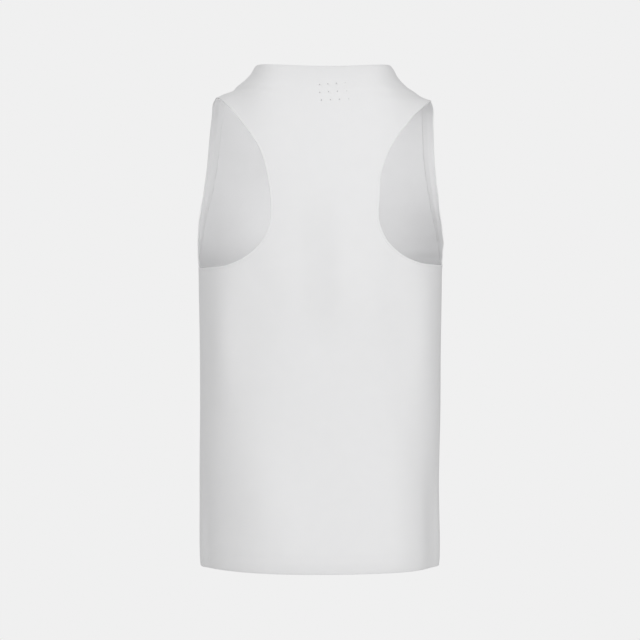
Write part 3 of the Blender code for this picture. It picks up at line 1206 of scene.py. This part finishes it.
    def mark_vents(self, bm: bmesh.types.BMesh) -> list[bmesh.types.BMVert]:
        """Move the nearest point of the flat panel to the middle of each vent.

        Args:
            bm: The flat panel.

        Returns:
            The points, in the order of the vents.
        """
        marked = []
        places = coordinates(bm)[:, :2]
        corners = list(bm.verts)
        for vent in self.vents:
            turn, rise = self.form.angles_of(abs(vent.x), vent.z + self.form.origin_height)
            wanted = np.array((math.copysign(turn, vent.x), rise))
            scale = [np.linalg.norm(axis) for axis in self.form.axes(wanted[0], wanted[1])]
            nearest = int(np.argmin(np.linalg.norm((places - wanted) * scale, axis=1)))
            corners[nearest].co.xy = wanted
            marked.append(corners[nearest])
        return marked

    def cut_vents(self, bm: bmesh.types.BMesh, marked: list[bmesh.types.BMVert]) -> None:
        """Punch a round hole at each marked point, its rim pressed inwards and darkened with painted shade.

        Args:
            bm: The laid panel.
            marked: The points, in the order of the vents.
        """
        layer = bm.verts.layers.float[PAINTED_SHADE_LAYER]
        bm.normal_update()
        for vert, vent in zip(marked, self.vents):
            for face in list(vert.link_faces):
                if len(face.verts) == 4:
                    around = list(face.verts)
                    opposite = around[(around.index(vert) + 2) % 4]
                    bmesh.ops.connect_verts(bm, verts=[vert, opposite])
            opened = bmesh.ops.bevel(bm, geom=[vert], offset=vent.radius, offset_type="OFFSET", segments=1,
                                     profile=0.5, affect="VERTICES", material=-1)["faces"]
            bm.normal_update()
            inwards = -math.copysign(1.0, opened[0].normal.y * self.form.side.value)
            bmesh.ops.inset_region(bm, faces=opened, thickness=vent.radius * self.vent_rim,
                                   depth=inwards * vent.radius * self.vent_sink)
            # painted shade on the rim of each hole, so that the hole reads dark
            for corner in opened[0].verts:
                corner[layer] = 1.0
            bmesh.ops.delete(bm, geom=opened, context="FACES_ONLY")

    def lay(self, bm: bmesh.types.BMesh) -> None:
        """Lay the flat panel on the worn form, and note where each point lies on the cloth.

        Args:
            bm: The panel.
        """
        layer = bm.verts.layers.float_vector[PLACE_LAYER]
        shade_layer = bm.verts.layers.float[PAINTED_SHADE_LAYER]
        cloth = coordinates(bm)
        turn, rise = cloth[:, 0], cloth[:, 1]
        wide, tall = self.form.axes(turn, rise)
        to_seam = (self.form.seam_turn - np.abs(turn)) * np.linalg.norm(wide, axis=1)
        to_shoulder = (QUARTER - rise) * np.linalg.norm(tall, axis=1)
        for distance in (to_seam, to_shoulder):
            cloth[:, 2] += self.groove_depth * np.exp(-(distance / self.groove_width) ** 2)
        flat = self.flat_places(turn, rise)
        places = self.drape.lay(cloth)
        # painted shade down the spine, from the panel's stripes
        shades = sum((stripe.at(places[:, 0], places[:, 2]) for stripe in self.stripes),
                     np.zeros(len(places)))
        for vert, place, on_cloth, shade in zip(bm.verts, places, flat, shades):
            vert.co = place
            vert[layer] = on_cloth
            vert[shade_layer] = shade

    def flat_places(self, turn: np.ndarray, rise: np.ndarray) -> np.ndarray:
        """Work out where places lie on the cloth, in metres across and up it.

        Args:
            turn: Angles round the body.
            rise: Angles up the body.

        Returns:
            Rows of across, up and zero.
        """
        turns = np.linspace(0, math.pi, LONG_LINE_SAMPLES)
        around = self.drape.travelled(np.column_stack((turns, np.zeros_like(turns))))
        rises = np.linspace(-QUARTER, QUARTER, LONG_LINE_SAMPLES)
        upwards = self.drape.travelled(np.column_stack((np.zeros_like(rises), rises)))
        width = self.form.half_width_above_chest(np.maximum(rise, 0)) / self.form.body[-1].half_width
        across = np.sign(turn) * np.interp(np.abs(turn), turns, around) * width
        return np.column_stack((across, np.interp(rise, rises, upwards), np.zeros_like(rise)))

    def build(self, material: bpy.types.Material) -> bpy.types.Object:
        """Make the panel.

        Args:
            material: Its cloth.

        Returns:
            The piece.
        """
        bm = self.cut_out()
        self.cut_groove_lines(bm)
        self.fold_edges(bm)
        marked = self.mark_vents(bm)
        self.lay(bm)
        self.cut_vents(bm, marked)
        piece = make_piece(self.name, bm, material)
        thicken(piece, self.thickness)
        return piece


@dataclass
class ArmholePiece:
    """Something sewn on all round one armhole."""

    name: str
    wearers_left: bool
    back: ClothPanel
    front: ClothPanel

    def lay_on(self, panel: ClothPanel, cloth: np.ndarray) -> np.ndarray:
        """Lay cloth on one panel, mirrored where it belongs to the wearer's right armhole.

        Args:
            panel: The back or the front.
            cloth: Rows of turn, rise and depth, for the left armhole.

        Returns:
            Rows of x, y and z.
        """
        return panel.drape.lay(cloth if self.wearers_left else cloth * (-1, 1, 1))


@dataclass
class ArmholeBinding(ArmholePiece):
    """A strip of knit folded over the cut edge."""

    thickness: float = 0.0004
    outer_reach: float = 0.0026
    outer_depth: float = -0.00005
    outer_end: float = 0.00023
    outer_rows: int = 4
    over: float = 0.0005
    fold_parts: int = 6
    inner_leg: tuple[FoldStep, ...] = (
        FoldStep(inward=0.0000, depth=0.00100),
        FoldStep(inward=0.0015, depth=0.00084),
        FoldStep(inward=0.0030, depth=0.00064),
        FoldStep(inward=0.0042, depth=0.00064),
        FoldStep(inward=0.0056, depth=0.00090),
        FoldStep(inward=0.0070, depth=0.00116),
        FoldStep(inward=0.0085, depth=0.00124),
        FoldStep(inward=0.0100, depth=0.00110),
        FoldStep(inward=0.0120, depth=0.00082),
        FoldStep(inward=0.0140, depth=0.00054),
        FoldStep(inward=0.0160, depth=0.00028),
    )
    ripple: float = 0.00006
    ripple_lengths: tuple[float, ...] = (0.0093, 0.0147, 0.0231)

    def profile(self) -> list[FoldStep]:
        """Describe the strip from the end of its outer leg, round the cut edge, to the end of its inner leg.

        Returns:
            The strip's profile.
        """
        radius = (self.inner_leg[0].depth - self.outer_depth) / 2
        sinking = self.outer_end - self.outer_depth
        outer = [FoldStep(self.outer_reach * share, self.outer_depth + sinking * share ** 2)
                 for share in np.linspace(1, 0, self.outer_rows + 1)]
        around = [FoldStep(-self.over * math.sin(angle), self.outer_depth + radius * (1 - math.cos(angle)))
                  for angle in np.linspace(0, math.pi, self.fold_parts + 1)[1:-1]]
        return [*outer, *around, *self.inner_leg]

    def strip(self, panel: ClothPanel) -> np.ndarray:
        """Lay the strip along one panel's armhole.

        Args:
            panel: The back or the front.

        Returns:
            Stations along the edge, each a row of places across the strip.
        """
        edge = panel.armhole_edge()[0]
        lines = []
        for step in self.profile():
            depths = step.depth + self.wave(panel, edge, step)
            line = np.column_stack((panel.armhole_inside(edge, step.inward), depths))
            lines.append(self.lay_on(panel, line))
        return np.stack(lines, axis=1)

    def wave(self, panel: ClothPanel, edge: np.ndarray, step: FoldStep) -> np.ndarray:
        """Work out the slight waviness of the strip's inner leg, which grows towards its end.

        Args:
            panel: The back or the front.
            edge: The armhole's cut edge.
            step: The place in the profile.

        Returns:
            Extra depths.
        """
        gone = panel.drape.travelled(edge)
        share = step.inward / self.inner_leg[-1].inward if step in self.inner_leg else 0.0
        ends = np.sin(np.linspace(0, math.pi, len(gone)))
        waves = sum(np.sin(2 * math.pi * gone / length + number)
                    for number, length in enumerate(self.ripple_lengths))
        return self.ripple * share * ends * waves

    def build(self, material: bpy.types.Material) -> bpy.types.Object:
        """Make the binding.

        Args:
            material: Its cloth.

        Returns:
            The piece.
        """
        stations = np.concatenate((self.strip(self.back), self.strip(self.front)[-2:0:-1]))
        bm = bmesh.new()
        layer = bm.verts.layers.float_vector.new(PLACE_LAYER)
        bm.verts.layers.float.new(PAINTED_SHADE_LAYER)
        add_grid(bm, np.concatenate((stations, stations[:1])))
        middle = stations[:, len(self.profile()) // 2]
        steps = np.linalg.norm(np.diff(middle, axis=0, append=middle[:1]), axis=1)
        along = np.concatenate(([0.0], np.cumsum(steps)))[:-1]
        across = np.cumsum([0.0, *(math.dist(a, b) for a, b in zip(self.profile(), self.profile()[1:]))])
        spots = {tuple(np.float32(place)): (far, wide, 0.0)
                 for row, far in zip(stations, along) for place, wide in zip(row, across)}
        for vert in bm.verts:
            vert[layer] = spots[tuple(np.float32(vert.co[:]))]
        bmesh.ops.remove_doubles(bm, verts=bm.verts, dist=WELD)
        bmesh.ops.recalc_face_normals(bm, faces=bm.faces)
        piece = make_piece(self.name, bm, material)
        thicken(piece, self.thickness)
        return piece


@dataclass(frozen=True)
class StitchRow:
    """One sewing thread, all round an armhole: it lies on the cloth and dips into it between its stitches."""

    inward: float
    depth: float
    pitch: float
    swing: float
    radius: float
    dip: float
    sharpness: int = 3
    sides: int = 5
    stations_per_pitch: int = 6

    def station_count(self, length: float) -> int:
        """Stretches for a row of whole stitches on a length."""
        return round(length / self.pitch) * self.stations_per_pitch

    def lay(self, panel: ClothPanel) -> np.ndarray:
        """Lay the thread along one panel's left armhole.

        Args:
            panel: The back or the front.

        Returns:
            Stations along the thread, each a ring of rows of turn, rise and depth; the ring is closed.
        """
        edge = panel.armhole_edge()[0]
        stretches = self.station_count(panel.drape.travelled(edge)[-1])
        edge = panel.drape.evenly(edge, stretches)
        phase = 2 * math.pi * np.arange(stretches + 1) / self.stations_per_pitch
        middle = self.inward + self.swing * np.cos(phase / 2)
        rings = []
        for angle in np.linspace(0, 2 * math.pi, self.sides + 1):
            line = panel.armhole_inside(edge, middle + self.radius * math.cos(angle))
            sunk = self.dip * (0.5 + 0.5 * np.cos(phase)) ** self.sharpness
            depths = self.depth + self.radius * math.sin(angle) - sunk
            rings.append(np.column_stack((line, depths)))
        return np.stack(rings, axis=1)


@dataclass
class ArmholeStitching(ArmholePiece):
    """The threads that hold one binding down."""

    rows: tuple[StitchRow, ...] = (
        StitchRow(inward=0.0036, depth=0.00087, pitch=0.0026, swing=0.0, radius=0.00009, dip=0.00014),
        StitchRow(inward=0.0080, depth=0.00144, pitch=0.0014, swing=0.0008, radius=0.00009, dip=0.00012,
                  stations_per_pitch=4),
        StitchRow(inward=0.0080, depth=0.00144, pitch=0.0014, swing=-0.0008, radius=0.00009, dip=0.00012,
                  stations_per_pitch=4),
    )

    def build(self, material: bpy.types.Material) -> bpy.types.Object:
        """Make all the threads, as one piece.

        Args:
            material: Their finish.

        Returns:
            The piece.
        """
        bm = bmesh.new()
        for row in self.rows:
            for panel in (self.back, self.front):
                add_grid(bm, self.lay_on(panel, row.lay(panel)))
        bmesh.ops.remove_doubles(bm, verts=bm.verts, dist=WELD)
        bmesh.ops.recalc_face_normals(bm, faces=bm.faces)
        return make_piece(self.name, bm, material)


@dataclass(frozen=True)
class Softbox:
    """A soft studio light, aimed at one place; those inside the singlet are hidden from the camera."""

    name: str
    place: Triple
    size: float
    power: float
    aim: Triple = (0.0, 0.0, -0.30)
    spread: float = math.pi
    hidden: bool = False


@dataclass(frozen=True)
class WallLight:
    """The even light from the walls on one side, which grows from nothing at the edge of that side."""

    towards: Triple
    level: float
    ramp_from: float = 0.1
    ramp_to: float = 0.8


@dataclass(frozen=True)
class Studio:
    """The pale floor, the light from the walls, the softboxes and the camera."""

    backdrop: float = 0.871
    floor_colour: Triple = (0.68, 0.68, 0.68)
    floor_height: float = -1.43
    floor_radius: float = 6.0
    floor_sides: int = 96
    floor_cloudiness: float = 3.0
    floor_roughness: tuple[float, float] = (0.75, 0.90)
    walls: tuple[WallLight, ...] = (
        WallLight(towards=(0.0, 1.0, 0.0), level=0.72, ramp_from=0.20, ramp_to=0.85),
        WallLight(towards=(0.0, -1.0, 0.0), level=0.40, ramp_from=0.20, ramp_to=0.85),
        WallLight(towards=(1.0, 0.0, 0.0), level=0.45),
        WallLight(towards=(-1.0, 0.0, 0.0), level=0.07),
        WallLight(towards=(0.0, 0.0, 1.0), level=0.37),
    )
    softboxes: tuple[Softbox, ...] = (
        Softbox(name="key", place=(-1.8, 3.4, 0.45), size=1.8, power=40.5),
        Softbox(name="inside_left", place=(0.030, 0.020, -0.060), size=0.08, power=0.062,
                aim=(0.150, -0.070, -0.060), hidden=True),
        Softbox(name="inside_right", place=(-0.030, 0.020, -0.060), size=0.08, power=0.034,
                aim=(-0.150, -0.070, -0.060), hidden=True),
        Softbox(name="inside_mid_left", place=(0.050, 0.050, -0.110), size=0.05, power=0.0021,
                aim=(0.085, -0.110, -0.120), spread=math.radians(80), hidden=True),
        Softbox(name="inside_low_left", place=(0.050, 0.050, -0.180), size=0.05, power=0.011,
                aim=(0.085, -0.110, -0.200), spread=math.radians(80), hidden=True),
    )
    camera_distance: float = 4.3
    camera_turn: float = math.radians(2.5)
    camera_height: float = -0.3214
    camera_aside: float = 0.0008
    lens: float = 172.8
    sensor: float = 36.0

    def set_floor(self) -> None:
        """Lay a round floor at the wearer's feet."""
        bm = bmesh.new()
        bmesh.ops.create_circle(bm, cap_ends=True, radius=self.floor_radius, segments=self.floor_sides)
        bmesh.ops.translate(bm, verts=bm.verts, vec=(0, 0, self.floor_height))
        material, nodes = new_material("pale_floor")
        noise = nodes.feed(nodes.add("TexNoise"), Vector=nodes.add("TexCoord").outputs["Object"],
                           Scale=self.floor_cloudiness)
        smoothest, dullest = self.floor_roughness
        dull = nodes.feed(nodes.add("MapRange"), Value=noise.outputs["Fac"],
                          To_Min=smoothest, To_Max=dullest)
        nodes.surface(Base_Color=(*self.floor_colour, 1.0), Roughness=dull.outputs["Result"])
        make_piece("studio_floor", bm, material)

    def set_backdrop(self) -> None:
        """Light the singlet from the studio's walls, before a plain backdrop."""
        world = bpy.data.worlds.new("studio")
        bpy.context.scene.world = world
        world.use_nodes = True
        nodes = NodeBuilder(world.node_tree)
        way = nodes.add("TexCoord").outputs["Generated"]
        light: bpy.types.NodeSocket | float = 0.0
        for wall in self.walls:
            turned = nodes.add("VectorMath", operation="DOT_PRODUCT")
            nodes.put(turned.inputs[0], way)
            nodes.put(turned.inputs[1], Vector(wall.towards).normalized())
            share = nodes.feed(nodes.add("MapRange", interpolation_type="SMOOTHSTEP"),
                               Value=turned.outputs["Value"], From_Min=wall.ramp_from, From_Max=wall.ramp_to,
                               To_Max=wall.level).outputs["Result"]
            light = nodes.math("ADD", share, light)
        lit = nodes.feed(nodes.add("Background"), Strength=light)
        seen = nodes.feed(nodes.add("Background"), Strength=self.backdrop)
        for background in (lit, seen):
            background.inputs["Color"].default_value = (1.0, 1.0, 1.0, 1.0)
        mix = nodes.add("MixShader")
        nodes.put(mix.inputs[0], nodes.add("LightPath").outputs["Is Camera Ray"])
        nodes.put(mix.inputs[1], lit.outputs[0])
        nodes.put(mix.inputs[2], seen.outputs[0])
        nodes.feed(nodes.add("OutputWorld"), Surface=mix.outputs[0])

    def set_softboxes(self) -> None:
        """Hang the soft lights."""
        for softbox in self.softboxes:
            light = bpy.data.lights.new(softbox.name, "AREA")
            light.shape = "DISK"
            light.size = softbox.size
            light.energy = softbox.power
            light.spread = softbox.spread
            lamp = bpy.data.objects.new(softbox.name, light)
            lamp.location = softbox.place
            lamp.rotation_euler = (Vector(softbox.aim) - lamp.location).to_track_quat("-Z", "Y").to_euler()
            lamp.visible_camera = not softbox.hidden
            bpy.context.scene.collection.objects.link(lamp)

    def set_camera(self) -> None:
        """Stand the camera behind the wearer, level and square on but for a small turn."""
        data = bpy.data.cameras.new("camera")
        data.lens, data.sensor_width = self.lens, self.sensor
        camera = bpy.data.objects.new("camera", data)
        away = Vector((math.sin(self.camera_turn), math.cos(self.camera_turn), 0.0))
        aside = Vector((away.y, -away.x, 0.0)) * self.camera_aside
        camera.location = away * self.camera_distance + aside + Vector((0, 0, self.camera_height))
        camera.rotation_euler = (-away).to_track_quat("-Z", "Y").to_euler()
        bpy.context.scene.collection.objects.link(camera)
        bpy.context.scene.camera = camera

    def build(self) -> None:
        """Set the whole studio up."""
        self.set_floor()
        self.set_backdrop()
        self.set_softboxes()
        self.set_camera()
        bpy.context.scene.view_settings.view_transform = "Standard"


BACK_ARMHOLE = (
    EdgePoint(out=0.1450, height=0.4162),
    EdgePoint(out=0.1230, height=0.4214),
    EdgePoint(out=0.1008, height=0.4341),
    EdgePoint(out=0.0828, height=0.4535),
    EdgePoint(out=0.0745, height=0.4815),
    EdgePoint(out=0.0750, height=0.5195),
    EdgePoint(out=0.0839, height=0.5625),
    EdgePoint(out=0.1021, height=0.5964),
    EdgePoint(out=0.1240, height=0.6245),
)
FRONT_ARMHOLE = (
    EdgePoint(out=0.1716, height=0.4543),
    EdgePoint(out=0.1688, height=0.5007),
    EdgePoint(out=0.1636, height=0.5465),
    EdgePoint(out=0.1600, height=0.5916),
    EdgePoint(out=0.1565, height=0.6330),
)
# painted shade: the knit's colour darkened down the spine
SPINE_PAINTED_SHADE = PaintedShadeStripe(middle=0.006, half_width=0.026, top=-0.130, bottom=-0.375,
                          fade=0.080, shade=0.032)


def neck_vents() -> tuple[Vent, ...]:
    """Place the vents under the back of the neck: three rows of four, the outermost ones smaller.

    Returns:
        The vents.
    """
    columns = (0.0077, -0.0045, -0.0168, -0.0295)
    rows = (0.0016, -0.0094, -0.0207)
    sizes = (0.00115, 0.00105, 0.00115, 0.00060)
    climb = -0.075
    return tuple(Vent(x, z + climb * (x - columns[0]), radius)
                 for z in rows for x, radius in zip(columns, sizes))


class Singlet:
    """The whole singlet: two panels, two bindings and their threads."""

    def __init__(self) -> None:
        """Set out the pieces on one form."""
        self.back = ClothPanel("singlet_back", Drape(WornForm(Side.BACK), BACK_CREASES, BACK_STANCE),
                               BACK_ARMHOLE, bend=3, vents=neck_vents(), stripes=(SPINE_PAINTED_SHADE,))
        self.front = ClothPanel("singlet_front", Drape(WornForm(Side.FRONT), FRONT_CREASES, FRONT_STANCE),
                                FRONT_ARMHOLE, bend=0)
        self.bindings = {word: ArmholeBinding(f"binding_{word}", word == "left", self.back, self.front)
                         for word in ("left", "right")}
        self.stitching = {word: ArmholeStitching(f"stitching_{word}", word == "left", self.back, self.front)
                          for word in ("left", "right")}
        self.body_cloth = KnitFinish("body_knit", wales_per_metre=1300.0, courses_per_metre=1600.0)
        self.binding_cloth = KnitFinish("binding_knit", wales_per_metre=1700.0, courses_per_metre=1900.0)
        self.thread = ThreadFinish()

    def declare(self, piece: bpy.types.Object, node: str) -> None:
        """Say what a piece is, what it stands for and what it was cut from.

        Args:
            piece: The piece.
            node: The node that it replaces.
        """
        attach(piece, BODY_NAME)
        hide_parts(node)
        log.info("%s: %d corners, stands for %s", piece.name, len(piece.data.vertices), node)

    def build(self) -> None:
        """Make, dress and declare every piece."""
        body = self.body_cloth.material()
        strip = self.binding_cloth.material()
        thread = self.thread.material()
        self.declare(self.back.build(body), "back_panel")
        self.declare(self.front.build(body), "front_panel")
        for word, binding in self.bindings.items():
            stitches = self.stitching[word].build(thread)
            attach(stitches, BODY_NAME)
            log.info("%s: %d corners", stitches.name, len(stitches.data.vertices))
            self.declare(binding.build(strip), f"armhole_binding_{word}")


def main() -> None:
    """Build the studio and the singlet."""
    logging.basicConfig(level=logging.INFO, format="%(name)s: %(message)s")
    Studio().build()
    Singlet().build()


if __name__ == "__main__":
    main()
